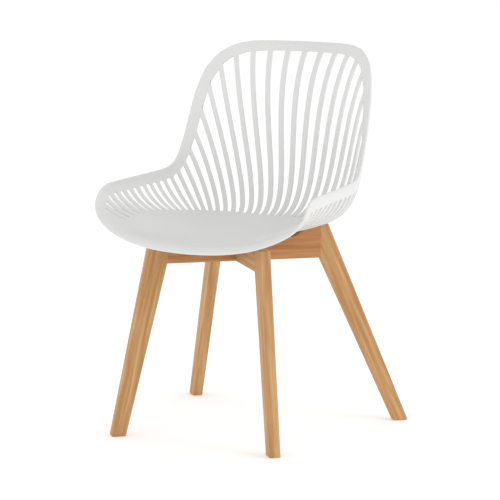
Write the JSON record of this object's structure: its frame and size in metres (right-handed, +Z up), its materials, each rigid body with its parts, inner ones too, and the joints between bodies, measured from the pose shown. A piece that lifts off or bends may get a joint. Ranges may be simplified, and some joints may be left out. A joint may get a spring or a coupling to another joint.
{
  "type": "dining chair",
  "caption": "Dining chair with a slatted plastic bucket seat on a crossed wooden base with four splayed legs.",
  "frame": {"origin": "on the floor, under the middle of the chair's box", "axes": "+Z up, the chair faces -Y, +X is on the right of a person who looks at its front; the chair mirrors about X = 0"},
  "size_m": [0.5674, 0.5539, 0.8329],
  "materials": {
    "shell_plastic": "satin white moulded plastic",
    "beech": "clear lacquered beech",
    "dowel_wood": "plain beech dowel",
    "insert_brass": "turned brass",
    "spacer_rubber": "matte black rubber",
    "screw_steel": "zinc plated steel"
  },
  "bodies": {
    "root": {"seat_shell": "shell_plastic", "rail_front_left_rear_right": "beech", "rail_front_right_rear_left": "beech", "leg_front_left": "beech", "leg_front_right": "beech", "leg_rear_left": "beech", "leg_rear_right": "beech", "leg_dowels": "dowel_wood", "shell_inserts": "insert_brass", "shell_spacers": "spacer_rubber", "shell_washers": "screw_steel", "shell_screws": "screw_steel"}
  },
  "joints": []
}
